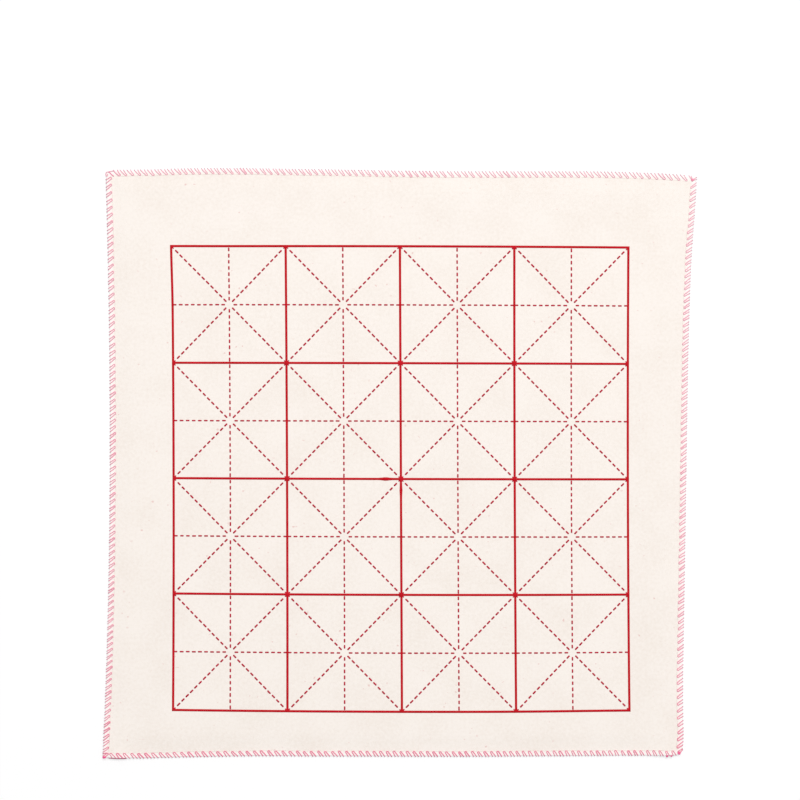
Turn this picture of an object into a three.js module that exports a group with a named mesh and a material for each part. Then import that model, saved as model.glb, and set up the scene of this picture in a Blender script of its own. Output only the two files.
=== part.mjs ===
// A calligraphy felt mat: a square felt sheet with a printed practice grid and an overlocked edge.
// Millimetres, +Z up, +Y away from the writer. The origin is under the middle, on the table.
import * as THREE from 'three';

// Felt sheet as it was cut
const matWidth = 499;
const matDepth = 503;
const feltThickness = 2.5;

// How far each corner has been pulled out of the cut rectangle
const nearLeftPullX = -6.1;
const nearLeftPullY = -2.3;
const nearRightPullX = -6.4;
const nearRightPullY = 0.2;
const farRightPullX = 6.1;
const farRightPullY = -5.4;
const farLeftPullX = -3.5;
const farLeftPullY = -0.7;

// Rounding of each corner
const nearLeftRadius = 2;
const nearRightRadius = 6.5;
const farRightRadius = 2.5;
const farLeftRadius = 2;

// How far each side swells past the straight line between its corners, its skew to one end,
// and its fullness: 2 is a plain bow, and more keeps the middle straight
const nearSwell = -0.2;
const nearSkew = -1.1;
const nearFullness = 2;
const rightSwell = -2.8;
const rightSkew = 2.6;
const rightFullness = 4;
const farSwell = 3.1;
const farSkew = 0;
const farFullness = 8;
const leftSwell = -4.9;
const leftSkew = 0.5;
const leftFullness = 2;

// Rim of the felt, squeezed by the stitches
const rimThickness = 1.3;
const rimSlope = 3;

// Overlock stitch
const stitchPitch = 5.7;
const stitchBite = 5.5;
const stitchLean = 3.7;
const edgeOverhang = 0.1;
const threadClearance = 0.05;
const tableClearance = 0.1;

// Upper looper thread: a leaning loop in each stitch, on the face of the rim
const upperWidth = 1;
const upperHeight = 0.8;
const loopInnerGap = 0.35;
const loopOuterSpread = 3.5;

// Lower looper thread: a zigzag under the rim
const lowerWidth = 0.7;
const lowerHeight = 0.45;

// Needle thread: a line along the inner ends of the loops
const needleWidth = 0.45;
const needleHeight = 0.35;
const needleSpans = 16;

// Corner tack: the doubled thread end of a run, laid across the corner
const tackWidth = 1.4;
const tackHeight = 0.9;
const tackLength = 5;

// Printed grid, and the bare margins round it
const cellColumns = 4;
const cellRows = 4;
const lineWidth = 1.6;
const inkThickness = 0.1;
const leftMargin = 54;
const rightMargin = 52.3;
const nearMargin = 37.5;
const farMargin = 64.6;

// Fineness of the outline
const sideSpans = 20;
const cornerSpans = 4;
const smallestCut = 0.3;
// The middle of a rounding lies this share of its radius in from both of its sides
const roundingShare = 0.25;

const rimUnderside = tableClearance + lowerHeight + threadClearance;
const rimTop = rimUnderside + rimThickness;
const loopInnerSpread = upperWidth + loopInnerGap;
const needleDepth = stitchBite + upperWidth / 2 + threadClearance + needleWidth / 2;
const rimFlat = needleDepth + needleWidth;

const feltMaterial = new THREE.MeshStandardMaterial({ color: 0xfaf1e9, roughness: 0.95, metalness: 0 });
const inkMaterial = new THREE.MeshStandardMaterial({ color: 0xc50f23, roughness: 0.75, metalness: 0 });
const pinkMaterial = new THREE.MeshStandardMaterial({ color: 0xf6a0b6, roughness: 0.6, metalness: 0 });
const creamMaterial = new THREE.MeshStandardMaterial({ color: 0xf6efe6, roughness: 0.6, metalness: 0 });

function corner(name, signX, signY, pullX, pullY, radius) {
  const place = new THREE.Vector2((signX * matWidth) / 2 + pullX, (signY * matDepth) / 2 + pullY);
  return { name, place, radius };
}

const nearLeft = corner('near_left', -1, -1, nearLeftPullX, nearLeftPullY, nearLeftRadius);
const nearRight = corner('near_right', 1, -1, nearRightPullX, nearRightPullY, nearRightRadius);
const farRight = corner('far_right', 1, 1, farRightPullX, farRightPullY, farRightRadius);
const farLeft = corner('far_left', -1, 1, farLeftPullX, farLeftPullY, farLeftRadius);

// A side runs counter-clockwise from one corner to the next, with its outward normal on its right
function side(name, from, to, swell, skew, fullness) {
  const along = to.place.clone().sub(from.place);
  const length = along.length();
  along.normalize();
  const outward = new THREE.Vector2(along.y, -along.x);
  return { name, from, to, swell, skew, fullness, along, length, outward };
}

const sides = [
  side('near', nearLeft, nearRight, nearSwell, nearSkew, nearFullness),
  side('right', nearRight, farRight, rightSwell, rightSkew, rightFullness),
  side('far', farRight, farLeft, farSwell, farSkew, farFullness),
  side('left', farLeft, nearLeft, leftSwell, leftSkew, leftFullness),
];

// The inward step at a corner that keeps one unit from both of its sides
function mitreBetween(before, after) {
  const share = -1 / (1 + before.outward.dot(after.outward));
  return before.outward.clone().add(after.outward).multiplyScalar(share);
}

sides.forEach((after, index) => {
  const before = sides[(index + sides.length - 1) % sides.length];
  after.from.mitre = mitreBetween(before, after);
});

// A point at a distance along a side and a depth in from its edge
function onSide(line, distance, depth) {
  const fromMiddle = (2 * distance) / line.length - 1;
  const bow = line.swell * (1 - Math.abs(fromMiddle) ** line.fullness);
  const tilt = -line.skew * fromMiddle * (1 - fromMiddle ** 2);
  return line.from.place
    .clone()
    .addScaledVector(line.along, distance)
    .addScaledVector(line.outward, bow + tilt - depth);
}

// How far a corner's rounding reaches along its sides, on the outline at a depth in from the edge
function cutBack(turn, depth) {
  return Math.max(turn.radius - depth, smallestCut);
}

// The outline of the sheet at a depth in from its edge, counter-clockwise
function outline(depth) {
  const points = [];
  sides.forEach((line, index) => {
    const next = sides[(index + 1) % sides.length];
    const mitreStart = line.from.mitre.dot(line.along) * depth;
    const mitreEnd = line.to.mitre.dot(line.along) * depth;
    const start = mitreStart + cutBack(line.from, depth);
    const end = line.length + mitreEnd - cutBack(line.to, depth);
    for (let step = 0; step <= sideSpans; step += 1) {
      points.push(onSide(line, start + ((end - start) * step) / sideSpans, depth));
    }
    const nextStart = next.from.mitre.dot(next.along) * depth + cutBack(next.from, depth);
    const round = new THREE.QuadraticBezierCurve(
      onSide(line, end, depth),
      line.to.place.clone().addScaledVector(line.to.mitre, depth),
      onSide(next, nextStart, depth),
    );
    points.push(...round.getPoints(cornerSpans).slice(1, -1));
  });
  return points;
}

// A closed body through outlines of equal count, from its underside to its top, where each of its
// two flat faces fans out from its middle
function stackOutlines(levels) {
  const count = levels[0].points.length;
  const positions = [];
  const index = [];
  levels.forEach(({ points, z }) => points.forEach((point) => positions.push(point.x, point.y, z)));
  const underMiddle = levels.length * count;
  const topMiddle = underMiddle + 1;
  const lastLevel = (levels.length - 1) * count;
  positions.push(0, 0, levels[0].z, 0, 0, levels.at(-1).z);
  for (let step = 0; step < count; step += 1) {
    const next = (step + 1) % count;
    index.push(underMiddle, next, step, topMiddle, lastLevel + step, lastLevel + next);
  }
  for (let level = 0; level + 1 < levels.length; level += 1) {
    for (let step = 0; step < count; step += 1) {
      const here = level * count + step;
      const beside = level * count + ((step + 1) % count);
      index.push(here, beside, beside + count, here, beside + count, here + count);
    }
  }
  const body = new THREE.BufferGeometry();
  body.setAttribute('position', new THREE.Float32BufferAttribute(positions, 3));
  body.setIndex(index);
  body.computeVertexNormals();
  return body;
}

// The felt keeps its full thickness up to the slope, and the rim outside it is squeezed from both faces
function feltGeometry() {
  const edge = outline(0);
  const foot = outline(rimFlat);
  const head = outline(rimFlat + rimSlope);
  return stackOutlines([
    { points: head, z: 0 },
    { points: foot, z: rimUnderside },
    { points: edge, z: rimUnderside },
    { points: edge, z: rimTop },
    { points: foot, z: rimTop },
    { points: head, z: feltThickness },
  ]);
}

// Both edges of every printed line, across the span of the grid in one direction
function lineEdges(low, high, cells) {
  const pitch = (high - low - lineWidth) / cells;
  const starts = Array.from({ length: cells + 1 }, (_, line) => low + line * pitch);
  return starts.flatMap((start) => [start, start + lineWidth]);
}

// One film of ink. The edges of the lines cut the grid into patches, and a patch is inked where
// it lies on a line of either direction, which leaves the squares bare.
function gridGeometry() {
  const xs = lineEdges(leftMargin - matWidth / 2, matWidth / 2 - rightMargin, cellColumns);
  const ys = lineEdges(nearMargin - matDepth / 2, matDepth / 2 - farMargin, cellRows);
  const positions = [];
  const onGrid = (i, j) => i >= 0 && j >= 0 && i + 1 < xs.length && j + 1 < ys.length;
  const inked = (i, j) => onGrid(i, j) && (i % 2 === 0 || j % 2 === 0);
  const face = (a, b, c, d) => positions.push(...a, ...b, ...c, ...a, ...c, ...d);
  // A wall stands on the patch's edge from one corner to the next, where there is no ink beyond it
  const wall = ([x0, y0], [x1, y1]) => {
    face([x0, y0, 0], [x1, y1, 0], [x1, y1, inkThickness], [x0, y0, inkThickness]);
  };
  for (let i = 0; i + 1 < xs.length; i += 1) {
    for (let j = 0; j + 1 < ys.length; j += 1) {
      if (inked(i, j)) {
        const corners = [
          [xs[i], ys[j]],
          [xs[i + 1], ys[j]],
          [xs[i + 1], ys[j + 1]],
          [xs[i], ys[j + 1]],
        ];
        const beyond = [inked(i, j - 1), inked(i + 1, j), inked(i, j + 1), inked(i - 1, j)];
        face(...corners.map(([x, y]) => [x, y, inkThickness]));
        face(...corners.map(([x, y]) => [x, y, 0]).reverse());
        corners.forEach((from, edge) => {
          if (!beyond[edge]) {
            wall(from, corners[(edge + 1) % corners.length]);
          }
        });
      }
    }
  }
  const film = new THREE.BufferGeometry();
  film.setAttribute('position', new THREE.Float32BufferAttribute(positions, 3));
  film.computeVertexNormals();
  return film;
}

// A thread's route: straight between its bends, with one ring of the tube at each bend
class ThreadRoute extends THREE.Curve {
  constructor(bends) {
    super();
    this.bends = bends;
  }

  getPoint(t, target = new THREE.Vector3()) {
    const place = t * (this.bends.length - 1);
    const index = Math.min(Math.floor(place), this.bends.length - 2);
    return target.lerpVectors(this.bends[index], this.bends[index + 1], place - index);
  }

  getUtoTmapping(u) {
    return u;
  }
}

// A thread lies with its flat side on the felt. On a level route the section's x axis points down,
// so its ridge is up for a height above the felt, and down for a height below it.
function threadGeometry(bends, width, height) {
  const section = new THREE.Shape();
  section.moveTo(0, -width / 2);
  section.lineTo(-height, 0);
  section.lineTo(0, width / 2);
  section.closePath();
  const extrudePath = new ThreadRoute(bends);
  return new THREE.ExtrudeGeometry(section, { steps: bends.length - 1, extrudePath, bevelEnabled: false });
}

// Where the stitches of a side sit along it: clear of the rounding and the tack at both corners
function stitchPlaces(line) {
  const first = stitchBite + tackWidth + loopInnerSpread / 2 + upperWidth + line.from.radius * roundingShare;
  const spareEnd = line.to.radius + tackWidth / 2 + loopOuterSpread / 2 + stitchLean;
  const run = line.length - spareEnd - first;
  const gaps = Math.round(run / stitchPitch);
  return Array.from({ length: gaps + 1 }, (_, stitch) => first + (run * stitch) / gaps);
}

// Bends of a thread given as pairs of distance and depth along a side, all at one height
function bendsAlong(line, pairs, z) {
  return pairs.map(([distance, depth]) => {
    const point = onSide(line, distance, depth);
    return new THREE.Vector3(point.x, point.y, z);
  });
}

// Each loop goes in along one strand, turns at the bite and comes out along the other
function upperLooper(line) {
  const pairs = stitchPlaces(line).flatMap((place) => [
    [place + stitchLean - loopOuterSpread / 2, -edgeOverhang],
    [place - loopInnerSpread / 2, stitchBite],
    [place + loopInnerSpread / 2, stitchBite],
    [place + stitchLean + loopOuterSpread / 2, -edgeOverhang],
  ]);
  return threadGeometry(bendsAlong(line, pairs, rimTop + threadClearance), upperWidth, upperHeight);
}

function lowerLooper(line) {
  const pairs = stitchPlaces(line).flatMap((place) => [
    [place, stitchBite],
    [place + stitchLean, -edgeOverhang],
  ]);
  return threadGeometry(bendsAlong(line, pairs, rimUnderside - threadClearance), lowerWidth, -lowerHeight);
}

function needleThread(line) {
  const places = stitchPlaces(line);
  const first = places[0];
  const run = places.at(-1) - first;
  const pairs = Array.from({ length: needleSpans + 1 }, (_, span) => [
    first + (run * span) / needleSpans,
    needleDepth,
  ]);
  return threadGeometry(bendsAlong(line, pairs, rimTop + threadClearance), needleWidth, needleHeight);
}

// The tack runs in from the rounded corner along its mitre
function cornerTack(turn) {
  const outer = turn.radius * roundingShare + tackWidth / 2;
  const bends = [outer, outer + tackLength / 2, outer + tackLength].map((reach) => {
    const depth = reach / turn.mitre.length();
    const point = turn.place.clone().addScaledVector(turn.mitre, depth);
    return new THREE.Vector3(point.x, point.y, rimTop + threadClearance);
  });
  return threadGeometry(bends, tackWidth, tackHeight);
}

const mat = new THREE.Group();

function addPiece(name, geometry, material) {
  const piece = new THREE.Mesh(geometry, material);
  piece.name = name;
  mat.add(piece);
  return piece;
}

addPiece('felt_sheet', feltGeometry(), feltMaterial);
const print = addPiece('grid_print', gridGeometry(), inkMaterial);
print.position.z = feltThickness;
sides.forEach((line) => {
  addPiece(`upper_looper_${line.name}`, upperLooper(line), pinkMaterial);
  addPiece(`lower_looper_${line.name}`, lowerLooper(line), pinkMaterial);
  addPiece(`needle_thread_${line.name}`, needleThread(line), creamMaterial);
  addPiece(`corner_tack_${line.from.name}`, cornerTack(line.from), pinkMaterial);
});

// The pulled corners leave the sheet off centre, so the whole mat is set back over the origin
const extent = new THREE.Box3().setFromObject(mat);
const middle = extent.getCenter(new THREE.Vector3());
mat.position.set(-middle.x, -middle.y, 0);

export default mat;
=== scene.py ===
import math
import random

import bmesh
import bpy
from mathutils import Matrix, Vector, noise


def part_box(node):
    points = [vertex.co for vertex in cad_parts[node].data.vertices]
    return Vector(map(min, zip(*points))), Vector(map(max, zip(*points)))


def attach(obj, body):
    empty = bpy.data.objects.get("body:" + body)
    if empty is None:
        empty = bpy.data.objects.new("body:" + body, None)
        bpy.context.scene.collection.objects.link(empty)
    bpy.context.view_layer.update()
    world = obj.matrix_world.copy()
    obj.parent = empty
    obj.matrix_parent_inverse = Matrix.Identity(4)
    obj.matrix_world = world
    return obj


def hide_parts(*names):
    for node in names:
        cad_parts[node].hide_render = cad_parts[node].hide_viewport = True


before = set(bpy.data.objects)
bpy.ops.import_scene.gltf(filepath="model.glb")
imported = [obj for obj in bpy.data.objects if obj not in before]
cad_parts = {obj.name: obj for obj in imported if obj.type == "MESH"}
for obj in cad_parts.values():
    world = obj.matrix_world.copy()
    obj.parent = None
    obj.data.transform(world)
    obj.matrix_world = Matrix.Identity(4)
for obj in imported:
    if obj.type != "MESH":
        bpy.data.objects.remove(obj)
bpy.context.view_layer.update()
print("frame loaded:", len(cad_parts), "nodes")

mm = 0.001  # sizes are written in millimetres, and the meshes are in metres

# The cut sheet: corners pulled out of the rectangle, and sides that bow between them
sheet = {
    "width": 499,
    "depth": 503,
    "leftMargin": 54,  # bare felt between the cut and the grid
    "nearMargin": 37.5,
    "pulls": {
        "nearLeft": (-6.1, -2.3),
        "nearRight": (-6.4, 0.2),
        "farRight": (6.1, -5.4),
        "farLeft": (-3.5, -0.7),
    },
    "roundings": {"nearLeft": 2, "nearRight": 6.5, "farRight": 2.5, "farLeft": 2},
    "bows": {  # swell, skew to one end, and fullness of the swell
        "near": (-0.2, -1.1, 2),
        "right": (-2.8, 2.6, 4),
        "far": (3.1, 0, 8),
        "left": (-4.9, 0.5, 2),
    },
    "waves": {  # places along a side where the edge is pushed out or drawn in: place, reach, step
        "near": [(35, 35, 0.75), (135, 32, -0.4), (305, 75, 0.35), (486, 16, 0.5)],
        "right": [(20, 22, 0.75), (468, 25, 0.6)],
        "far": [(80, 30, 0.3), (225, 75, -0.9), (391, 25, 0.25), (470, 25, -0.9)],
        "left": [],
    },
    "waveHeld": 15,
}

# Heights and the middle come from the frame
printLow, printHigh = (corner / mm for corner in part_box("grid_print"))
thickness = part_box("felt_sheet")[1].z / mm
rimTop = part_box("upper_looper_near")[0].z / mm
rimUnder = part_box("lower_looper_near")[1].z / mm
middle = Vector((
    printLow.x + sheet["width"] / 2 - sheet["leftMargin"],
    printLow.y + sheet["depth"] / 2 - sheet["nearMargin"],
))

cornerSigns = {"nearLeft": (-1, -1), "nearRight": (1, -1), "farRight": (1, 1), "farLeft": (-1, 1)}
corners = {}
for name, (signX, signY) in cornerSigns.items():
    cut = Vector((signX * sheet["width"] / 2, signY * sheet["depth"] / 2))
    corners[name] = middle + cut + Vector(sheet["pulls"][name])


class Side:
    # a side runs counter-clockwise from one corner to the next
    def __init__(self, name, start, end):
        self.start = corners[start]
        self.roundings = (sheet["roundings"][start], sheet["roundings"][end])
        self.swell, self.skew, self.fullness = sheet["bows"][name]
        self.waves = sheet["waves"][name]
        run = corners[end] - corners[start]
        self.length = run.length
        self.along = run / self.length
        self.outward = Vector((self.along.y, -self.along.x))

    # outward step of the bowed edge from the straight line between the corners
    def bow(self, share):
        fromMiddle = 2 * share - 1
        swell = self.swell * (1 - abs(fromMiddle) ** self.fullness)
        skew = self.skew * fromMiddle * (1 - fromMiddle * fromMiddle)
        distance = share * self.length
        wave = sum(step * math.exp(-((distance - spot) / reach) ** 2) for spot, reach, step in self.waves)
        return swell - skew + wave * smoothStep(min(distance, self.length - distance) / sheet["waveHeld"])

    # how far the rounded corners cut into the edge
    def inset(self, distance):
        total = 0
        for reach, radius in zip((distance, self.length - distance), self.roundings):
            if reach < radius:
                total += radius - math.sqrt(radius * radius - (radius - max(reach, 0)) ** 2)
        return total

    def point(self, distance, depth):
        step = self.bow(distance / self.length) - depth
        return self.start + self.along * distance + self.outward * step


sides = {
    "near": Side("near", "nearLeft", "nearRight"),
    "right": Side("right", "nearRight", "farRight"),
    "far": Side("far", "farRight", "farLeft"),
    "left": Side("left", "farLeft", "nearLeft"),
}


# A point of the sheet from its shares across (left to right) and up (near to far)
def sheetPoint(across, up):
    near = corners["nearLeft"].lerp(corners["nearRight"], across)
    far = corners["farLeft"].lerp(corners["farRight"], across)
    point = near.lerp(far, up)
    point += sides["near"].outward * sides["near"].bow(across) * (1 - up)
    point += sides["far"].outward * sides["far"].bow(1 - across) * up
    point += sides["left"].outward * sides["left"].bow(1 - up) * (1 - across)
    point += sides["right"].outward * sides["right"].bow(up) * across
    return point


def smoothStep(value):
    value = min(max(value, 0), 1)
    return value * value * (3 - 2 * value)


def srgb(red, green, blue):
    def linear(level):
        level /= 255
        return level / 12.92 if level <= 0.04045 else ((level + 0.055) / 1.055) ** 2.4

    return (linear(red), linear(green), linear(blue), 1)


# Shader helpers
class Socket:
    def __init__(self, shader, socket):
        self.shader = shader
        self.socket = socket

    def math(self, operation, *others):
        values = dict(enumerate((self, *others)))
        return self.shader.node("ShaderNodeMath", {"operation": operation}, values)

    def __add__(self, other):
        return self.math("ADD", other)

    __radd__ = __add__

    def __sub__(self, other):
        return self.math("SUBTRACT", other)

    def __rsub__(self, other):
        return (self * -1) + other

    def __mul__(self, other):
        return self.math("MULTIPLY", other)

    __rmul__ = __mul__

    def clamped(self):
        return self.math("MAXIMUM", 0).math("MINIMUM", 1)


class Shader:
    def __init__(self, name, kind="materials"):
        self.block = getattr(bpy.data, kind).new(name)
        self.block.use_nodes = True
        self.tree = self.block.node_tree
        self.tree.nodes.clear()

    def node(self, kind, settings=None, sockets=None, output=0):
        made = self.tree.nodes.new(kind)
        for name, value in (settings or {}).items():
            setattr(made, name, value)
        for name, value in (sockets or {}).items():
            if isinstance(value, Socket):
                self.tree.links.new(value.socket, made.inputs[name])
            else:
                made.inputs[name].default_value = value
        return Socket(self, made.outputs[output]) if made.outputs else made

    def part(self, vector, axis):
        return self.node("ShaderNodeSeparateXYZ", {}, {0: vector}, output=axis)

    def mix(self, factor, first, second):
        values = {0: factor, 6: first, 7: second}
        return self.node("ShaderNodeMix", {"data_type": "RGBA"}, values, output=2)

    def noise(self, vector, size, detail, distortion=0.0):
        values = {
            "Vector": vector,
            "Scale": 1 / (size * mm),
            "Detail": detail,
            "Distortion": distortion,
        }
        return self.node("ShaderNodeTexNoise", {}, values)

    # where the noise stands over a level
    def spots(self, vector, look):
        over = self.noise(vector, look["size"], look["detail"]) - look["level"]
        return (over * look["sharpness"]).clamped()

    def bump(self, look, height):
        values = {"Strength": look["bumpStrength"], "Distance": look["bumpDepth"] * mm, "Height": height}
        return self.node("ShaderNodeBump", {}, values)

    def finish(self, sockets):
        surface = self.node("ShaderNodeBsdfPrincipled", {}, sockets)
        self.node("ShaderNodeOutputMaterial", {}, {"Surface": surface})
        return self.block

    # 1 for what the camera sees, straight or by a reflection, and 0 for the light that falls on things
    def seen(self):
        path = "ShaderNodeLightPath"
        camera = self.node(path, output="Is Camera Ray")
        glossy = self.node(path, output="Is Glossy Ray")
        through = self.node(path, output="Is Transmission Ray")
        return (camera + glossy + through).clamped()


fibre = {
    "length": 1.6,
    "width": 0.22,
    "turns": (0.2, 1.3, 2.35),  # directions in which the fibres lie
    "detail": 1.5,
    "kinks": 0.6,
    "sharpness": 3,
}


# Ridges of stretched noise in several directions, like the matted fibres of felt
def fibreLayers(shader, place):
    bend = fibre["length"] * 2 * mm  # how far the fibres wander
    vectorMath = "ShaderNodeVectorMath"
    drift = shader.node("ShaderNodeTexNoise", {}, {"Vector": place, "Scale": 1 / bend}, output="Color")
    centred = shader.node(vectorMath, {"operation": "SUBTRACT"}, {0: drift, 1: (0.5, 0.5, 0.5)})
    bent = shader.node(vectorMath, {"operation": "SCALE"}, {0: centred, "Scale": bend})
    wandering = shader.node(vectorMath, {"operation": "ADD"}, {0: place, 1: bent})
    size = (fibre["length"] * mm, fibre["width"] * mm, fibre["length"] * mm)
    fibres = 0
    for turn in fibre["turns"]:
        laid = shader.node(
            "ShaderNodeMapping",
            {"vector_type": "TEXTURE"},
            {"Vector": wandering, "Rotation": (0, 0, turn), "Scale": size},
        )
        wave = shader.node(
            "ShaderNodeTexNoise",
            {},
            {"Vector": laid, "Scale": 1, "Detail": fibre["detail"], "Distortion": fibre["kinks"]},
        )
        ridge = 1 - (wave * 2 - 1).math("ABSOLUTE") * fibre["sharpness"]
        fibres = ridge.clamped() + fibres
    return fibres * (1 / len(fibre["turns"]))


feltFinish = {
    "cream": srgb(251, 243, 236),
    "shade": srgb(240, 229, 219),
    "shaded": 0.27,  # from cream to shade, with what the layers below add to it
    "pillSize": 2.6,
    "pillTone": 1.2,
    "cloudSize": 38,
    "cloudTone": 1.0,
    "noiseDetail": 3,
    "fibreLevel": 0.45,
    "fibreTone": 0.6,
    "speck": srgb(232, 196, 190),
    "speckShare": 0.75,
    "dots": {"size": 3.1, "detail": 0, "level": 0.775, "sharpness": 16},
    "dotPatches": {"size": 23, "detail": 1, "level": 0.52, "sharpness": 9},  # specks lie only in these
    "pressed": srgb(254, 252, 248),  # painted light along the rim, lifting the shade between the stitches
    "paintedRimLightShare": 0.9,
    "fibreHeight": 0.7,
    "pillHeight": 0.6,
    "bumpStrength": 0.6,
    "bumpDepth": 0.12,
    "roughness": 0.98,
    "fibreShine": 0.08,
}


def creamFelt():
    shader = Shader("creamFelt")
    place = shader.node("ShaderNodeTexCoord", output="Object")
    fibres = fibreLayers(shader, place)
    pills = shader.noise(place, feltFinish["pillSize"], feltFinish["noiseDetail"])
    clouds = shader.noise(place, feltFinish["cloudSize"], feltFinish["noiseDetail"])
    tone = (pills - 0.5) * feltFinish["pillTone"] + (clouds - 0.5) * feltFinish["cloudTone"]
    tone = tone + (feltFinish["fibreLevel"] - fibres) * feltFinish["fibreTone"] + feltFinish["shaded"]
    ground = shader.mix(tone.clamped(), feltFinish["cream"], feltFinish["shade"])
    specks = shader.spots(place, feltFinish["dots"]) * shader.spots(place, feltFinish["dotPatches"])
    spotted = shader.mix(specks * feltFinish["speckShare"], ground, feltFinish["speck"])
    # painted light along the rim, where the stitches shade the felt
    rim = shader.node("ShaderNodeAttribute", {"attribute_name": "rim"}, output="Fac")
    height = fibres * feltFinish["fibreHeight"] + pills * feltFinish["pillHeight"]
    return shader.finish({
        "Base Color": shader.mix(rim * feltFinish["paintedRimLightShare"], spotted, feltFinish["pressed"]),
        "Roughness": feltFinish["roughness"] - fibres * feltFinish["fibreShine"],
        "Sheen Weight": 0.12,
        "Sheen Roughness": 0.6,
        "Specular IOR Level": 0.15,
        "Normal": shader.bump(feltFinish, height),
    })


inkFinish = {
    "line": {"deep": srgb(185, 2, 17), "bright": srgb(205, 11, 33)},
    "guide": {"deep": srgb(180, 28, 52), "bright": srgb(200, 44, 70)},  # a thinner layer
    "patchSize": 9,
    "patchDetail": 3,
    "patchTone": 1.6,
    "bare": srgb(230, 110, 115),  # where the felt shows through
    "bareShare": 0.06,
    "bareSpots": {"size": 0.55, "detail": 2, "level": 0.6, "sharpness": 4},
    "bumpStrength": 0.5,
    "bumpDepth": 0.05,
    "roughness": 0.85,
    "fibreShine": 0.15,
}


def redInk(name, colours):
    shader = Shader(name)
    place = shader.node("ShaderNodeTexCoord", output="Object")
    fibres = fibreLayers(shader, place)
    patches = shader.noise(place, inkFinish["patchSize"], inkFinish["patchDetail"])
    brightness = (patches - 0.5) * inkFinish["patchTone"] + 0.5
    ink = shader.mix(brightness.clamped(), colours["deep"], colours["bright"])
    bare = shader.spots(place, inkFinish["bareSpots"]) * inkFinish["bareShare"]
    return shader.finish({
        "Base Color": shader.mix(bare, ink, inkFinish["bare"]),
        "Roughness": inkFinish["roughness"] - fibres * inkFinish["fibreShine"],
        "Specular IOR Level": 0.2,
        "Normal": shader.bump(inkFinish, fibres),
    })


yarnFinish = {
    "pink": {
        "crest": srgb(250, 150, 177), "grooveShade": srgb(238, 104, 142),
        "lay": 2.4, "paintedLightShare": 0.6, "paintedShade": 0.75,
    },
    "deepPink": {
        "crest": srgb(255, 120, 172), "grooveShade": srgb(244, 78, 142),
        "lay": 2.4, "paintedLightShare": 0.3, "paintedShade": 0.6,
    },
    "cream": {
        "crest": srgb(250, 243, 236), "grooveShade": srgb(242, 232, 223),
        "lay": 1.1, "paintedLightShare": 0, "paintedShade": 0,
    },
    "plyShade": 0.75,  # what lightens the yarn from groove to crest: painted shade in the grooves between the plies, and painted highlight on the hairs
    "hairHighlight": 0.35,
    "patchTone": 0.5,
    "hairSize": 0.35,
    "hairDetail": 3,
    "hairKinks": 0.5,
    "patchSize": 14,
    "patchDetail": 2,
    "lightened": srgb(255, 222, 230),  # painted light: the yarn is paler towards the far side, where the lamp falls strongest, and most at its right end
    "paintedLightLeft": 0.8,
    "paintedLightAcross": 0.25,
    "paintedLightPower": 0.3,
    "paintedShadeColour": srgb(150, 62, 96),  # painted shade, darker round the cut edge
    "hairHeight": 0.4,
    "bumpStrength": 0.7,
    "bumpDepth": 0.12,
    "roughness": 0.75,
    "plyShine": 0.15,
}


# Two plies wound round each other; the thread carries its angle and its length as an attribute
def twistedYarn(name, colours):
    shader = Shader(name)
    lay = shader.node("ShaderNodeAttribute", {"attribute_name": "lay"}, output="Vector")
    cosine, sine, along = (shader.part(lay, axis) for axis in "XYZ")
    turn = along * (2 * math.pi / colours["lay"])
    wave = cosine * turn.math("COSINE") + sine * turn.math("SINE")
    plies = wave * wave
    place = shader.node("ShaderNodeTexCoord", output="Object")
    hairs = shader.noise(place, yarnFinish["hairSize"], yarnFinish["hairDetail"], yarnFinish["hairKinks"])
    patches = shader.noise(place, yarnFinish["patchSize"], yarnFinish["patchDetail"])
    # painted shade in the grooves between the plies, and painted highlight on the hairs
    crest = plies * yarnFinish["plyShade"] + hairs * yarnFinish["hairHighlight"]
    crest = crest + (patches - 0.5) * yarnFinish["patchTone"]
    fresh = shader.mix(crest.clamped(), colours["grooveShade"], colours["crest"])
    # painted light: the yarn turns paler towards the far side and the right end of the mat
    across = shader.part(place, "X") * (1 / (sheet["width"] * mm)) + 0.5
    up = shader.part(place, "Y") * (1 / (sheet["depth"] * mm)) + 0.5
    towardsRight = across.clamped() * yarnFinish["paintedLightAcross"] + yarnFinish["paintedLightLeft"]
    paintedLightShare = up.clamped().math("POWER", yarnFinish["paintedLightPower"]) * towardsRight
    paler = shader.mix(paintedLightShare * colours["paintedLightShare"], fresh, yarnFinish["lightened"])
    # painted shade: the threads darken round the lower half of the cut edge
    paintedShade = shader.node("ShaderNodeAttribute", {"attribute_name": "paintedShade"}, output="Fac")
    return shader.finish({
        "Base Color": shader.mix(paintedShade * colours["paintedShade"], paler, yarnFinish["paintedShadeColour"]),
        "Roughness": yarnFinish["roughness"] - plies * yarnFinish["plyShine"],
        "Sheen Weight": 0.25,
        "Sheen Roughness": 0.4,
        "Specular IOR Level": 0.25,
        "Normal": shader.bump(yarnFinish, plies + hairs * yarnFinish["hairHeight"]),
    })


feltMaterial = creamFelt()
lineMaterial = redInk("lineInk", inkFinish["line"])
guideMaterial = redInk("guideInk", inkFinish["guide"])
pinkMaterial = twistedYarn("pinkYarn", yarnFinish["pink"])
tackMaterial = twistedYarn("deepPinkYarn", yarnFinish["deepPink"])
needleMaterial = twistedYarn("creamThread", yarnFinish["cream"])
print("materials made")


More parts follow.
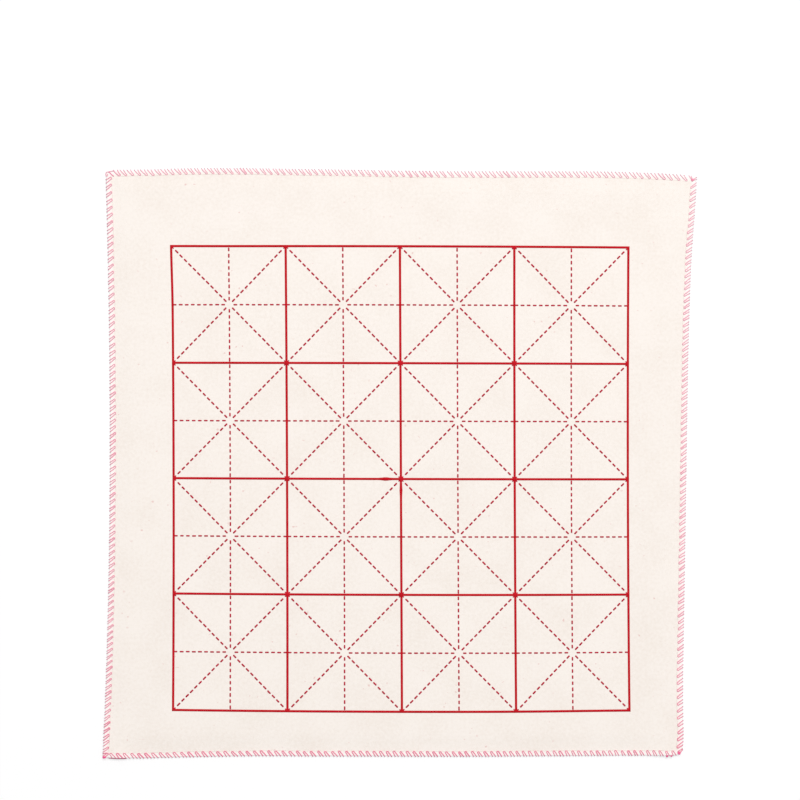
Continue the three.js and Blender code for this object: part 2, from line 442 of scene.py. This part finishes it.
# A finished piece: its mesh in metres, riding on the mat, standing for its node
def addPiece(name, bm, materials, slot, *nodes):
    bmesh.ops.recalc_face_normals(bm, faces=bm.faces)
    bmesh.ops.scale(bm, vec=(mm, mm, mm), verts=bm.verts)
    mesh = bpy.data.meshes.new(name)
    bm.to_mesh(mesh)
    bm.free()
    mesh.shade_smooth()
    for material in materials:
        mesh.materials.append(material)
    piece = bpy.data.objects.new(name, mesh)
    bpy.context.scene.collection.objects.link(piece)
    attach(piece, "root")
    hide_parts(*nodes)
    return piece


def extrudedVerts(bm):
    made = bmesh.ops.extrude_face_region(bm, geom=bm.faces[:])
    return [item for item in made["geom"] if isinstance(item, bmesh.types.BMVert)]


# The felt lies almost flat, lifts a little at its corners and ripples along its sewn rim
felt = {
    "rows": 160,
    "crowding": 1.6,  # draws the rows together at the rim
    "edgeInset": {"near": 0.7, "right": 0.5, "far": -0.2, "left": 0.5},  # from the outline of the threads
    "edgeRound": 0.5,  # how far in the squeezed edge starts to round off
    "edgeDrop": 0.35,
    "rimFlat": 4.8,
    "rimSlope": 14,
    "pressed": 2.0,  # the painted rim light reaches this far in
    "pressedFade": 2.8,
    "ripple": 0.35,
    "rippleLength": 62,
    "rippleReach": 26,
    "lifts": [  # where the rim stands off the table: corner, step from it, height and reach
        ("nearLeft", (0, 0), 0.8, 30),
        ("nearLeft", (14, 0), 1.1, 10),
        ("nearRight", (0, 0), 1.0, 30),
        ("nearRight", (-17, 0), 0.8, 10),
        ("farRight", (0, 0), 0.3, 30),
        ("farLeft", (0, 0), 0.4, 30),
    ],
}


# How far the sheet stands off the table
def lift(x, y):
    gapX = sheet["width"] / 2 - abs(x - middle.x)
    gapY = sheet["depth"] / 2 - abs(y - middle.y)
    nearEdge = math.exp(-max(min(gapX, gapY), 0) / felt["rippleReach"])
    wave = noise.noise(Vector((x, y, 0)) / felt["rippleLength"])
    rise = felt["ripple"] * nearEdge * (0.5 + 0.5 * wave)
    for name, step, height, reach in felt["lifts"]:
        away = (Vector((x, y)) - corners[name] - Vector(step)).length / reach
        rise += height * math.exp(-away * away)
    return rise


# Share of the full thickness that the felt has at a depth in from its edge
def fullness(depth):
    return smoothStep((depth - felt["rimFlat"]) / felt["rimSlope"])


def edgeCurl(depth):
    short = max(1 - depth / felt["edgeRound"], 0)
    return felt["edgeDrop"] * (1 - math.sqrt(1 - short * short))


def topHeight(depth):
    return rimTop + (thickness - rimTop) * fullness(depth)


def underHeight(depth):
    return rimUnder * (1 - fullness(depth))


def crowded(share):
    fromEdge = 1 - abs(1 - 2 * share)
    moved = 0.5 * fromEdge ** felt["crowding"]
    return moved if share < 0.5 else 1 - moved


# Bends the square corner of the rows round the corner's rounding
def rounded(across, up, radius):
    inX = radius - across
    inY = radius - up
    if inX <= 0 or inY <= 0:
        return across, up
    draw = max(inX, inY) / math.hypot(inX, inY)
    return radius - inX * draw, radius - inY * draw


def feltPlace(across, up):
    wide, deep, inset = sheet["width"], sheet["depth"], felt["edgeInset"]
    right, far = across > 0.5, up > 0.5
    insetX, insetY = inset["right" if right else "left"], inset["far" if far else "near"]
    gapX = insetX + (1 - across if right else across) * (wide - inset["left"] - inset["right"])
    gapY = insetY + (1 - up if far else up) * (deep - inset["near"] - inset["far"])
    name = ("far" if far else "near") + ("Right" if right else "Left")
    depth = min(gapX - insetX, gapY - insetY)
    gapX, gapY = rounded(gapX, gapY, sheet["roundings"][name])
    across = 1 - gapX / wide if right else gapX / wide
    up = 1 - gapY / deep if far else gapY / deep
    return sheetPoint(across, up), depth


def feltSheet():
    bm = bmesh.new()
    rim = bm.verts.layers.float.new("rim")
    bmesh.ops.create_grid(bm, x_segments=felt["rows"], y_segments=felt["rows"], size=0.5)
    topVerts = set(extrudedVerts(bm))
    for vert in bm.verts:
        point, depth = feltPlace(crowded(vert.co.x + 0.5), crowded(vert.co.y + 0.5))
        # mask of the painted rim light
        vert[rim] = 1 - smoothStep((depth - felt["pressed"]) / felt["pressedFade"])
        rise = lift(point.x, point.y)
        if vert in topVerts:
            height = topHeight(depth) - edgeCurl(depth)
        else:
            height = underHeight(depth) + edgeCurl(depth)
        vert.co = (point.x, point.y, rise + height)
    return addPiece("feltSheet", bm, [feltMaterial], "felt", "felt_sheet")


feltPiece = feltSheet()
print("felt sheet made")

# The printed grid: solid squares, each with dashed guide lines through its middle
printing = {
    "cells": 4,
    "lineWidth": 2.0,
    "steps": 44,  # steps of a line along one square
    "rough": 0.025,  # unevenness of the edges
    "roughScale": 0.35,
    "roughSlice": 7,
    "knot": 0.03,  # ink that runs together where lines cross
    "knotReach": 1.9,
    "film": 0.05,
    "sunk": 0.06,
    "blots": [  # thick spots of ink: place, length and extra width to each side
        ((-12.2, -13.4), 6.5, 0.6),
        ((1.1, -23.2), 6.0, 0.35),
    ],
    "blotSharpness": 4,
    "lean": -0.87,  # drift of the print at its ends, as the felt is pulled out of square
    "bow": 0.91,
    "waist": -0.24,
    "fan": 0.43,
    "fall": -0.52,
    "sag": -0.82,
    "squeeze": -0.70,
    "stretch": 1.23,
    "rise": 0.25,
    "push": 0.16,
    "crowd": 0.59,
    "tugs": [((-1, 1), (-0.8, 0.2), 32), ((1, -1), (0, 0.6), 75)],  # corners drawn further
    "frameLine": 1.6,  # width of the lines in the frame, whose middles are the grid
}
halfLine = Vector((printing["frameLine"], printing["frameLine"])) / 2
gridLow = printLow.to_2d() + halfLine
gridHigh = printHigh.to_2d() - halfLine
printMiddle = (gridLow + gridHigh) / 2
printHalf = (gridHigh - gridLow) / 2
cellX, cellY = (gridHigh - gridLow) / printing["cells"]


def drifted(x, y):
    u = (x - printMiddle.x) / printHalf.x
    v = (y - printMiddle.y) / printHalf.y
    driftX = printing["lean"] * v + printing["waist"] * u
    driftX += printing["bow"] * u * v * v + printing["fan"] * u * u * v
    driftY = printing["fall"] * u + printing["sag"] * u * u * v
    driftY += printing["squeeze"] * v + printing["stretch"] * v ** 3 + printing["rise"] * u * u
    driftX += (printing["push"] + printing["crowd"] * u) * (1 - u * u)
    for (cornerU, cornerV), (tugX, tugY), reach in printing["tugs"]:
        away = math.hypot((u - cornerU) * printHalf.x, (v - cornerV) * printHalf.y) / reach
        pull = math.exp(-away * away)
        driftX += tugX * pull
        driftY += tugY * pull
    return x + driftX, y + driftY


# Ink on the face of the felt: its underside sinks into the fibres
def inkPoint(x, y, above):
    x, y = drifted(x, y)
    return (x, y, thickness + lift(x, y) + above)


# Both edges of each line and the steps between the lines, with which edge a stop is
def lineStops(low, high):
    width, cells, steps = printing["lineWidth"], printing["cells"], printing["steps"]
    pitch = (high - low) / cells
    stops = []
    for line in range(cells + 1):
        start = low + line * pitch - width / 2
        stops += [(start, -1), (start + width, 1)]
        if line < cells:
            bare = pitch - width
            stops += [(start + width + bare * step / steps, 0) for step in range(1, steps)]
    return stops


def inkSpread(x, y):
    uneven = noise.noise(Vector((x, y, printing["roughSlice"])) * printing["roughScale"])
    spread = printing["rough"] * uneven
    fromLineX = math.remainder(x - gridLow.x, cellX)
    fromLineY = math.remainder(y - gridLow.y, cellY)
    away = math.hypot(fromLineX, fromLineY) / printing["knotReach"]
    spread += printing["knot"] * math.exp(-away * away)
    for (blotX, blotY), length, extra in printing["blots"]:
        away = math.hypot(x - blotX, y - blotY) / length
        spread += extra * math.exp(-printing["blotSharpness"] * away * away)
    return spread


def printedGrid():
    columns = lineStops(gridLow.x, gridHigh.x)
    rows = lineStops(gridLow.y, gridHigh.y)
    bm = bmesh.new()
    bmesh.ops.create_grid(bm, x_segments=len(columns) - 1, y_segments=len(rows) - 1, size=0.5)
    place = {}
    for vert in bm.verts:
        column = round((vert.co.x + 0.5) * (len(columns) - 1))
        row = round((vert.co.y + 0.5) * (len(rows) - 1))
        place[vert] = (column, row)
    bare = []
    for face in bm.faces:
        column = min(place[vert][0] for vert in face.verts)
        row = min(place[vert][1] for vert in face.verts)
        if columns[column][1] != -1 and rows[row][1] != -1:
            bare.append(face)
    for vert in bm.verts:
        (x, edgeX), (y, edgeY) = columns[place[vert][0]], rows[place[vert][1]]
        spread = inkSpread(x, y)
        vert.co = (x + edgeX * spread, y + edgeY * spread, 0)
    bmesh.ops.delete(bm, geom=bare, context="FACES")
    topVerts = set(extrudedVerts(bm))
    for vert in bm.verts:
        vert.co = inkPoint(vert.co.x, vert.co.y, printing["film"] if vert in topVerts else -printing["sunk"])
    return addPiece("printedGrid", bm, [lineMaterial], "red_ink", "grid_print")


gridPiece = printedGrid()
print("printed grid made")

dashes = {
    "straightPitch": 5.23,
    "slantPitch": 5.263,
    "straightLength": 3.45,
    "straightWidth": 1.45,
    "slantLength": 3.7,
    "slantWidth": 1.55,
    "cornerLength": 3.2,  # what is left of a slanting line's last dash, where the squares meet
    "cornerGap": 1.5,
    "cornerWidth": 1.25,
    "wander": 0.06,
    "uneven": 0.06,
    "corners": 8,
    "film": 0.04,
    "seed": 3,
}


# One dash: a circle of a few corners, drawn out along its line
def addDash(bm, spot, turn, half, width):
    made = bmesh.ops.create_circle(
        bm, cap_ends=True, radius=width / 2, segments=dashes["corners"],
        matrix=Matrix.Rotation(math.pi / dashes["corners"], 4, "Z"),
    )
    for vert in made["verts"]:
        vert.co.x += math.copysign(half, vert.co.x)
        vert.co = turn @ vert.co
        vert.co.x += spot.x
        vert.co.y += spot.y


# The dashes from the middle of a square out to its edge or corner
def addRay(bm, rng, squareMiddle, ray, slanting):
    kind = "slant" if slanting else "straight"
    pitch = dashes[kind + "Pitch"]
    turn = Matrix.Rotation(math.atan2(ray.y, ray.x), 4, "Z")
    count = int(ray.length / pitch)
    for dash in range(1, count + 1):
        reach, length, width = dash * pitch, dashes[kind + "Length"], dashes[kind + "Width"]
        if slanting and dash == count:
            reach, length = ray.length - dashes["cornerGap"], dashes["cornerLength"]
            width = dashes["cornerWidth"]
        wander = Vector((rng.uniform(-1, 1), rng.uniform(-1, 1))) * dashes["wander"]
        spot = squareMiddle + ray.normalized() * reach + wander
        uneven = rng.uniform(1 - dashes["uneven"], 1 + dashes["uneven"])
        addDash(bm, spot, turn, (length * uneven - width) / 2, width)


def guideDashes():
    rng = random.Random(dashes["seed"])
    cells = printing["cells"]
    rays = [(x, y) for x in (-1, 0, 1) for y in (-1, 0, 1) if (x, y) != (0, 0)]
    bm = bmesh.new()
    for column in range(cells):
        for row in range(cells):
            squareMiddle = Vector((gridLow.x + cellX * (column + 0.5), gridLow.y + cellY * (row + 0.5)))
            for rayX, rayY in rays:
                ray = Vector((rayX * cellX / 2, rayY * cellY / 2))
                addRay(bm, rng, squareMiddle, ray, rayX != 0 and rayY != 0)
    topVerts = set(extrudedVerts(bm))
    for vert in bm.verts:
        vert.co = inkPoint(vert.co.x, vert.co.y, dashes["film"] if vert in topVerts else -printing["sunk"])
    return addPiece("guideDashes", bm, [guideMaterial], "red_ink")


dashPiece = guideDashes()
print("guide dashes made")

# The overlock stitch: loops that reach in to the bite, and pass over the cut edge at their open end
stitch = {
    # first loop, bare end and shape of a loop; lean, pitch, openness and yarn in equal steps along the side
    "sides": {
        "near": {
            "first": 7.2, "spare": 6.0, "bite": 4.7, "inner": 2.0, "outer": 2.85,
            "edge": 0.3, "full": 0.2,
            "lean": (2.9, 2.8, 2.5, 2.2, 1.9, 1.7),
            "pitches": (5.93, 6.32, 5.99, 5.52, 5.29, 5.48),
            "openness": (1.2, 1.0, 0.92, 0.9, 0.83, 0.82),
            "yarn": (0.92, 1.22, 1.28, 1.21, 1.07, 1.03),
        },
        "right": {
            "first": 7.6, "spare": 6.0, "bite": 4.9, "inner": 1.75, "outer": 2.4,
            "edge": 0.1, "full": 0.25,
            "lean": (2.8, 2.8),
            "pitches": (6.17, 5.75, 5.54, 5.23, 5.3, 5.67),
            "openness": (1.2, 1.0, 1.0, 0.9, 1.0, 1.0),
            "yarn": (1.15, 1.17, 1.18, 1.2, 1.22, 1.22),
        },
        "far": {
            "first": 9.25, "spare": 9.0, "bite": 4.2, "inner": 1.6, "outer": 2.6,
            "edge": -0.7, "full": 0.1,
            "lean": (3.4, 3.4),
            "pitches": (6.41, 5.94, 6.09, 5.65, 5.59, 5.98),
            "openness": (1.24, 1.14, 1.06, 0.98, 1.05, 1.25),
            "yarn": (1.04, 1.04, 1.0, 1.0, 1.0, 1.1),
        },
        "left": {
            "first": 5.5, "spare": 2.0, "bite": 4.9, "inner": 1.75, "outer": 2.4,
            "edge": 0.0, "full": 0.2,
            "lean": (3.0, 3.0),
            "pitches": (6.2, 6.25, 5.85, 5.53, 5.1, 5.54),
            "openness": (1.08, 1.06, 1.05, 1.0, 0.8, 1.06),
            "yarn": (1.28, 1.2, 1.1, 1.08, 1.06, 0.98),
        },
    },
    "fullYarn": 1.4,  # where the yarn lies loose and fills the loop
    "wander": 0.22,
    "uneven": 0.12,
    "tucked": 1.6,  # how far in the threads link below the rim
    "endGap": 0.3,  # the threads stay this far from the corners
    "paintedShadeHeight": 0.4,  # the painted shade is darkest this far over the underside of the rim
    "paintedShadeReach": 1.5,
    "seed": 11,
}
upper = {
    "radius": 0.36,
    "sides": 6,
    "onRim": 0.8,  # height of its middle over the rim, in radii
    # bends of a strand from below the rim to the tip of its loop
    "link": 0.1,  # over the underside
    "lowEdge": (0.1, 0.4),  # in from the edge, over the underside
    "highEdge": 0.35,  # below the top of the rim
    "shoulder": (0.15, 0.75, 0.08),  # share of the way in, depth from the edge, dip
    "halfway": (0.55, 0.52),  # shares of the way in and of the bite
    "neck": (0.85, 0.05),  # short of the bite, dip
    "turn": (0.8, 0.3, 0.08),  # share of the loop's width, short of the bite, dip
    "tip": (0.3, 0.12),  # share of the loop's width, dip
}
lower = {
    "radius": 0.24,
    "sides": 6,
    "short": 0.2,  # of the bite
    "purl": 0.4,  # length and half width of the small loop that holds the upper thread
    "purlHalf": 0.2,
}
needle = {
    "radius": 0.12,
    "sides": 6,
    "behind": 0.35,
    "onFelt": 0.6,  # height of its middle over the felt, in radii
    "dip": 0.3,
    "dipShare": 0.2,  # of a stitch, to each side of the dip
}


# A value between those given in equal steps along a side
def between(values, share):
    step = min(max(share, 0), 1) * (len(values) - 1)
    before = min(int(step), len(values) - 2)
    return values[before] + (values[before + 1] - values[before]) * (step - before)


def stitchLoops():
    rng = random.Random(stitch["seed"])
    loops = {}
    for name, side in sides.items():
        shape = stitch["sides"][name]
        loops[name] = []
        place = shape["first"]
        while place < side.length - shape["spare"]:
            share = place / side.length
            uneven = rng.uniform(1 - stitch["uneven"], 1 + stitch["uneven"])
            width = between(shape["openness"], share) * uneven
            full = rng.random() < shape["full"]
            loops[name].append({
                "place": place + rng.uniform(-1, 1) * stitch["wander"],
                "bite": shape["bite"] + rng.uniform(-1, 1) * stitch["wander"],
                "lean": between(shape["lean"], share) + rng.uniform(-1, 1) * stitch["wander"],
                "inner": shape["inner"] * width / 2,
                "outer": shape["outer"] * width / 2,
                "edge": shape["edge"],
                "yarn": stitch["fullYarn"] if full else between(shape["yarn"], share),
            })
            place += between(shape["pitches"], share)
    return loops


loops = stitchLoops()


# A point of a thread at a height over the table, on the rim or out over its edge, with its fullness
def threadPoint(side, distance, depth, height, yarn=1):
    distance = min(max(distance, stitch["endGap"]), side.length - stitch["endGap"])
    share = min(max(1 - depth / felt["rimFlat"], 0), 1)
    point = side.point(distance, depth + side.inset(distance) * share)
    return Vector((point.x, point.y, height + lift(point.x, point.y))), yarn


# In along one strand, round at the bite and out along the other, then over the cut edge and in below
def upperRoute(side, sideLoops):
    onTop = rimTop + upper["radius"] * upper["onRim"]
    lowIn, lowUp = upper["lowEdge"]
    shoulderShare, shoulderIn, shoulderDip = upper["shoulder"]
    halfwayShare, halfwayBite = upper["halfway"]
    neckShort, neckDip = upper["neck"]
    turnShare, turnShort, turnDip = upper["turn"]
    tipShare, tipDip = upper["tip"]
    route = []
    for loop in sideLoops:
        place, bite, edge = loop["place"], loop["bite"], loop["edge"]
        for hand in (-1, 1):
            reach = hand * loop["inner"]
            outer = place + loop["lean"] + hand * loop["outer"]
            inwards = place + reach - outer
            strand = [
                (outer, stitch["tucked"], rimUnder + upper["link"]),
                (outer, edge + lowIn, rimUnder + lowUp),
                (outer, edge, rimTop - upper["highEdge"]),
                (outer + inwards * shoulderShare, edge + shoulderIn, onTop - shoulderDip),
                (outer + inwards * halfwayShare, edge + (bite - edge) * halfwayBite, onTop),
                (place + reach, bite - neckShort, onTop - neckDip),
                (place + reach * turnShare, bite - turnShort, onTop - turnDip),
                (place + reach * tipShare, bite, onTop - tipDip),
            ]
            strand = [(*bend, loop["yarn"]) for bend in strand]
            route += strand if hand < 0 else strand[::-1]
    return [threadPoint(side, *bend) for bend in route]


# A zigzag under the rim, with a small loop at its outer bends that holds the upper thread
def lowerRoute(side, sideLoops):
    under = rimUnder - lower["radius"]
    purlTip = stitch["tucked"] - lower["purl"]
    purlFoot = purlTip + lower["purl"]
    route = []
    for loop in sideLoops:
        place, bite = loop["place"], loop["bite"]
        outer = place + loop["lean"]
        route += [
            (place, bite - lower["short"], under),
            (place + loop["lean"] / 2, bite / 2, under),
            (outer - lower["purlHalf"], purlFoot, under),
            (outer, purlTip, (rimTop + rimUnder) / 2),
            (outer + lower["purlHalf"], purlFoot, under),
        ]
    return [threadPoint(side, *bend) for bend in route]


# Along the tips of the loops, dipping into the felt behind each
def needleRoute(side, sideLoops):
    route = []
    for loop, after in zip(sideLoops, sideLoops[1:] + [None]):
        depth = loop["bite"] + needle["behind"]
        onTop = topHeight(depth) + needle["radius"] * needle["onFelt"]
        route.append((loop["place"], depth, onTop - needle["dip"]))
        if after:
            gap = after["place"] - loop["place"]
            nextDepth = after["bite"] + needle["behind"]
            route.append((loop["place"] + gap * needle["dipShare"], depth, onTop))
            route.append((loop["place"] + gap * (1 - needle["dipShare"]), nextDepth, onTop))
    return [threadPoint(side, *bend) for bend in route]


# Painted shade on a thread: darkest on the lower half of the cut edge
def paintedShadeAt(place):
    height = place.z - lift(place.x, place.y) - rimUnder - stitch["paintedShadeHeight"]
    return 1 - smoothStep(abs(height) / stitch["paintedShadeReach"])


# A thread is a bevelled curve made a mesh, with its angle, length and painted shade kept on its vertices
def addThread(bm, route, gauge, slotIndex=0):
    curve = bpy.data.curves.new("thread", "CURVE")
    curve.dimensions = "3D"
    curve.bevel_depth = gauge["radius"]
    curve.bevel_resolution = (gauge["sides"] - 4) // 2
    curve.twist_mode = "MINIMUM"
    spline = curve.splines.new("POLY")
    spline.points.add(len(route) - 1)
    for knot, (place, yarn) in zip(spline.points, route):
        knot.co = (*place, 1)
        knot.radius = yarn
    holder = bpy.data.objects.new("thread", curve)
    bpy.context.scene.collection.objects.link(holder)
    shown = holder.evaluated_get(bpy.context.evaluated_depsgraph_get())
    mesh = bpy.data.meshes.new_from_object(shown)
    bpy.data.objects.remove(holder)
    lay = bm.verts.layers.float_vector.get("lay") or bm.verts.layers.float_vector.new("lay")
    paintedShade = bm.verts.layers.float.get("paintedShade") or bm.verts.layers.float.new("paintedShade")
    firstVert, firstFace = len(bm.verts), len(bm.faces)
    bm.from_mesh(mesh)
    bpy.data.meshes.remove(mesh)
    bm.verts.ensure_lookup_table()
    along = 0
    for ring, (place, yarn) in enumerate(route):
        along += (place - route[max(ring - 1, 0)][0]).length
        for corner in range(gauge["sides"]):
            angle = 2 * math.pi * corner / gauge["sides"]
            vert = bm.verts[firstVert + ring * gauge["sides"] + corner]
            vert[lay] = (math.cos(angle), math.sin(angle), along)
            vert[paintedShade] = paintedShadeAt(place)
    openEnds = [edge for edge in bm.edges if edge.is_boundary]
    bmesh.ops.holes_fill(bm, edges=openEnds, sides=gauge["sides"])
    bm.faces.ensure_lookup_table()
    for face in bm.faces[firstFace:]:
        face.material_index = slotIndex


threadKinds = [
    ("upperLooper", upperRoute, upper, pinkMaterial, "pink_thread", "upper_looper_"),
    ("lowerLooper", lowerRoute, lower, pinkMaterial, "pink_thread", "lower_looper_"),
    ("needleThread", needleRoute, needle, needleMaterial, "cream_thread", "needle_thread_"),
]
for name, side in sides.items():
    for kind, routeOf, gauge, material, slot, node in threadKinds:
        bm = bmesh.new()
        addThread(bm, routeOf(side, loops[name]), gauge)
        addPiece(kind + name.title(), bm, [material], slot, node + name)
print("stitch threads made:", sum(len(row) for row in loops.values()), "loops")

# Corner tacks: the tied ends of the runs, with points from the corner and heights over the rim
tacks = {
    "radius": 0.38,
    "sides": 6,
    "knotRadius": 0.48,
    "knotTurns": 2,
    "knotSteps": 12,  # of a turn
    "knotTaper": 0.03,  # at each step
    "knotRise": 0.02,
    "knotSunk": 0.15,
    "corners": {
        "nearLeft": {
            "node": "corner_tack_near_left",
            "strands": [[
                (0.5, 4.3, -1.2), (0.3, 4.0, -0.1), (1.6, 4.5, 0.35), (3.3, 4.9, 0.4), (5.0, 4.5, 0.35),
                (5.2, 3.7, 0.3), (4.0, 2.7, 0.4), (2.6, 1.7, 0.4), (1.5, 1.1, 0.3),
            ], [  # the tail of the run, laid along the near edge
                (3.6, 0.9, -1.0), (6, 0.25, -0.9), (10, -0.05, -0.8), (15, -0.15, -0.8), (20.5, -0.1, -1.0),
            ]],
            "knots": [(1.1, 1.0, 0.35, 0.7), (2.3, 1.05, 0.35, 0.6)],
        },
        "nearRight": {
            "node": "corner_tack_near_right",
            "strands": [[
                (-0.5, 6.2, -1.2), (0.0, 6.0, -0.1), (-1.4, 5.3, 0.35), (-2.9, 4.4, 0.4), (-4.1, 3.5, 0.35),
                (-4.2, 2.6, 0.3), (-3.4, 2.1, 0.3), (-2.2, 2.8, 0.4), (-1.0, 3.9, 0.35), (0.2, 5.0, -0.1),
                (-0.3, 5.2, -1.2),
            ]],
            "knots": [(-2.9, 2.1, 0.4, 1.15), (-9.6, -0.3, -0.25, 0.6), (-13.3, -0.4, -0.25, 0.8)],
        },
        "farRight": {
            "node": "corner_tack_far_right",
            "strands": [
                [
                    (-6.9, 0.5, -1.2), (-6.9, 1.2, -0.1), (-6.1, 0.1, 0.35), (-5.2, -1.3, 0.4),
                    (-4.2, -2.6, 0.3), (-4.1, -1.6, 0.4), (-4.5, -0.2, 0.35), (-4.9, 0.9, -0.1),
                    (-4.9, 0.2, -1.2),
                ],
                [
                    (-0.8, -0.3, -1.2), (-0.1, -0.1, -0.1), (-1.5, -0.8, 0.35), (-2.7, -1.7, 0.4),
                    (-3.6, -2.6, 0.3), (-2.6, -2.5, 0.4), (-1.3, -2.1, 0.35), (0.0, -1.9, -0.1),
                    (-0.8, -1.9, -1.2),
                ],
            ],
            "knots": [(-3.9, -2.5, 0.35, 0.95)],
        },
        "farLeft": {
            "node": "corner_tack_far_left",
            "strands": [
                [
                    (7.6, 0.2, -1.1), (7.4, 0.5, -0.1), (6.2, 0.5, 0.0), (4.4, 0.3, 0.15), (2.8, -0.2, 0.4),
                ],
                [
                    (2.9, -0.3, 0.2), (1.6, -0.3, 0.3), (0.4, -0.8, 0.0), (0.2, -2.2, 0.0), (0.4, -3.7, 0.1),
                    (1.1, -4.1, 0.3), (1.7, -3.2, 0.35), (1.9, -1.9, 0.3),
                ],
            ],
            "tied": [[  # in the deeper pink
                (2.6, 0.0, 0.3), (2.9, -0.3, 0.4), (4.2, -1.5, 0.45), (5.7, -2.9, 0.45), (7.0, -4.0, 0.3),
            ]],
        },
    },
}


def tackPoint(corner, x, y, above):
    spot = corner + Vector((x, y))
    return Vector((spot.x, spot.y, rimTop + above + lift(spot.x, spot.y))), 1


# Turns of thread wound inwards and up, pulled tight
def knotRoute(corner, x, y, above, width):
    route = []
    for step in range(tacks["knotTurns"] * tacks["knotSteps"] + 1):
        angle = 2 * math.pi * step / tacks["knotSteps"]
        wide = width * (1 - step * tacks["knotTaper"])
        height = above - tacks["knotSunk"] + step * tacks["knotRise"]
        route.append(tackPoint(corner, x + wide * math.cos(angle), y + wide * math.sin(angle), height))
    return route


for name, tack in tacks["corners"].items():
    bm = bmesh.new()
    for strand in tack["strands"]:
        addThread(bm, [tackPoint(corners[name], *place) for place in strand], tacks)
    for strand in tack.get("tied", []):
        addThread(bm, [tackPoint(corners[name], *place) for place in strand], tacks, 1)
    for knot in tack.get("knots", []):
        gauge = {"radius": tacks["knotRadius"], "sides": tacks["sides"]}
        addThread(bm, knotRoute(corners[name], *knot), gauge, 1)
    pieceName = "cornerTack" + name[0].upper() + name[1:]
    addPiece(pieceName, bm, [pinkMaterial, tackMaterial], "pink_thread", tack["node"])
print("corner tacks made")

# The floor keeps the shadow near the mat, where part of what the camera sees is plain white
studio = {
    "floorSize": 30,
    "floorDrop": 0.2,
    "worldLight": 0.42,
    "lampPlace": (0.5, 1.95, 4.35),
    "lampSize": 2.4,
    "lampPower": 164,
    "floorWhite": 1.02,
    "floorGlow": 0.6,  # share of plain white near the mat
    "shadowReach": 0.5,  # further out the floor turns all white, so that no horizon shows
    "fadeReach": 1.2,
    "lens": 85,
    "sensor": 36,
    "frameWidth": 688,
    "aim": (0.3, 54.7),  # middle of the picture on the mat
}


def whiteFloor():
    shader = Shader("whiteFloor")
    shader.block.cycles.emission_sampling = "NONE"  # the glow is seen, and lights nothing
    matt = shader.node("ShaderNodeBsdfDiffuse", {}, {"Color": (1, 1, 1, 1)})
    white = shader.node("ShaderNodeEmission", {}, {"Color": (1, 1, 1, 1), "Strength": studio["floorWhite"]})
    place = shader.node("ShaderNodeTexCoord", output="Object")
    away = shader.node("ShaderNodeVectorMath", {"operation": "LENGTH"}, {0: place}, output="Value")
    lightened = ((away - studio["shadowReach"]) * (1 / studio["fadeReach"])).clamped()
    glow = lightened * (1 - studio["floorGlow"]) + studio["floorGlow"]
    both = shader.node("ShaderNodeMixShader", {}, {0: shader.seen() * glow, 1: matt, 2: white})
    shader.node("ShaderNodeOutputMaterial", {}, {"Surface": both})
    bm = bmesh.new()
    bmesh.ops.create_grid(bm, x_segments=1, y_segments=1, size=studio["floorSize"] / 2)
    bmesh.ops.translate(bm, vec=(0, 0, -studio["floorDrop"] * mm), verts=bm.verts)
    mesh = bpy.data.meshes.new("floor")
    bm.to_mesh(mesh)
    bm.free()
    mesh.materials.append(shader.block)
    floor = bpy.data.objects.new("floor", mesh)
    bpy.context.scene.collection.objects.link(floor)


def whiteWorld():
    shader = Shader("whiteWorld", "worlds")
    level = shader.seen() * (1 - studio["worldLight"]) + studio["worldLight"]
    background = shader.node("ShaderNodeBackground", {}, {"Color": (1, 1, 1, 1), "Strength": level})
    shader.node("ShaderNodeOutputWorld", {}, {"Surface": background})
    bpy.context.scene.world = shader.block


def lampAndCamera():
    lamp = bpy.data.lights.new("softLamp", "AREA")
    lamp.energy = studio["lampPower"]
    lamp.size = studio["lampSize"]
    lampObject = bpy.data.objects.new("softLamp", lamp)
    lampObject.location = studio["lampPlace"]
    lampObject.rotation_euler = Vector(studio["lampPlace"]).to_track_quat("Z", "Y").to_euler()
    bpy.context.scene.collection.objects.link(lampObject)
    camera = bpy.data.cameras.new("camera")
    camera.lens = studio["lens"]
    camera.sensor_width = studio["sensor"]
    cameraObject = bpy.data.objects.new("camera", camera)
    distance = studio["frameWidth"] * studio["lens"] / studio["sensor"]
    aimX, aimY = studio["aim"]
    cameraObject.location = Vector((aimX, aimY, thickness + distance)) * mm
    bpy.context.scene.collection.objects.link(cameraObject)
    bpy.context.scene.camera = cameraObject


whiteFloor()
whiteWorld()
lampAndCamera()
bpy.context.scene.view_settings.view_transform = "Standard"
print("studio made")
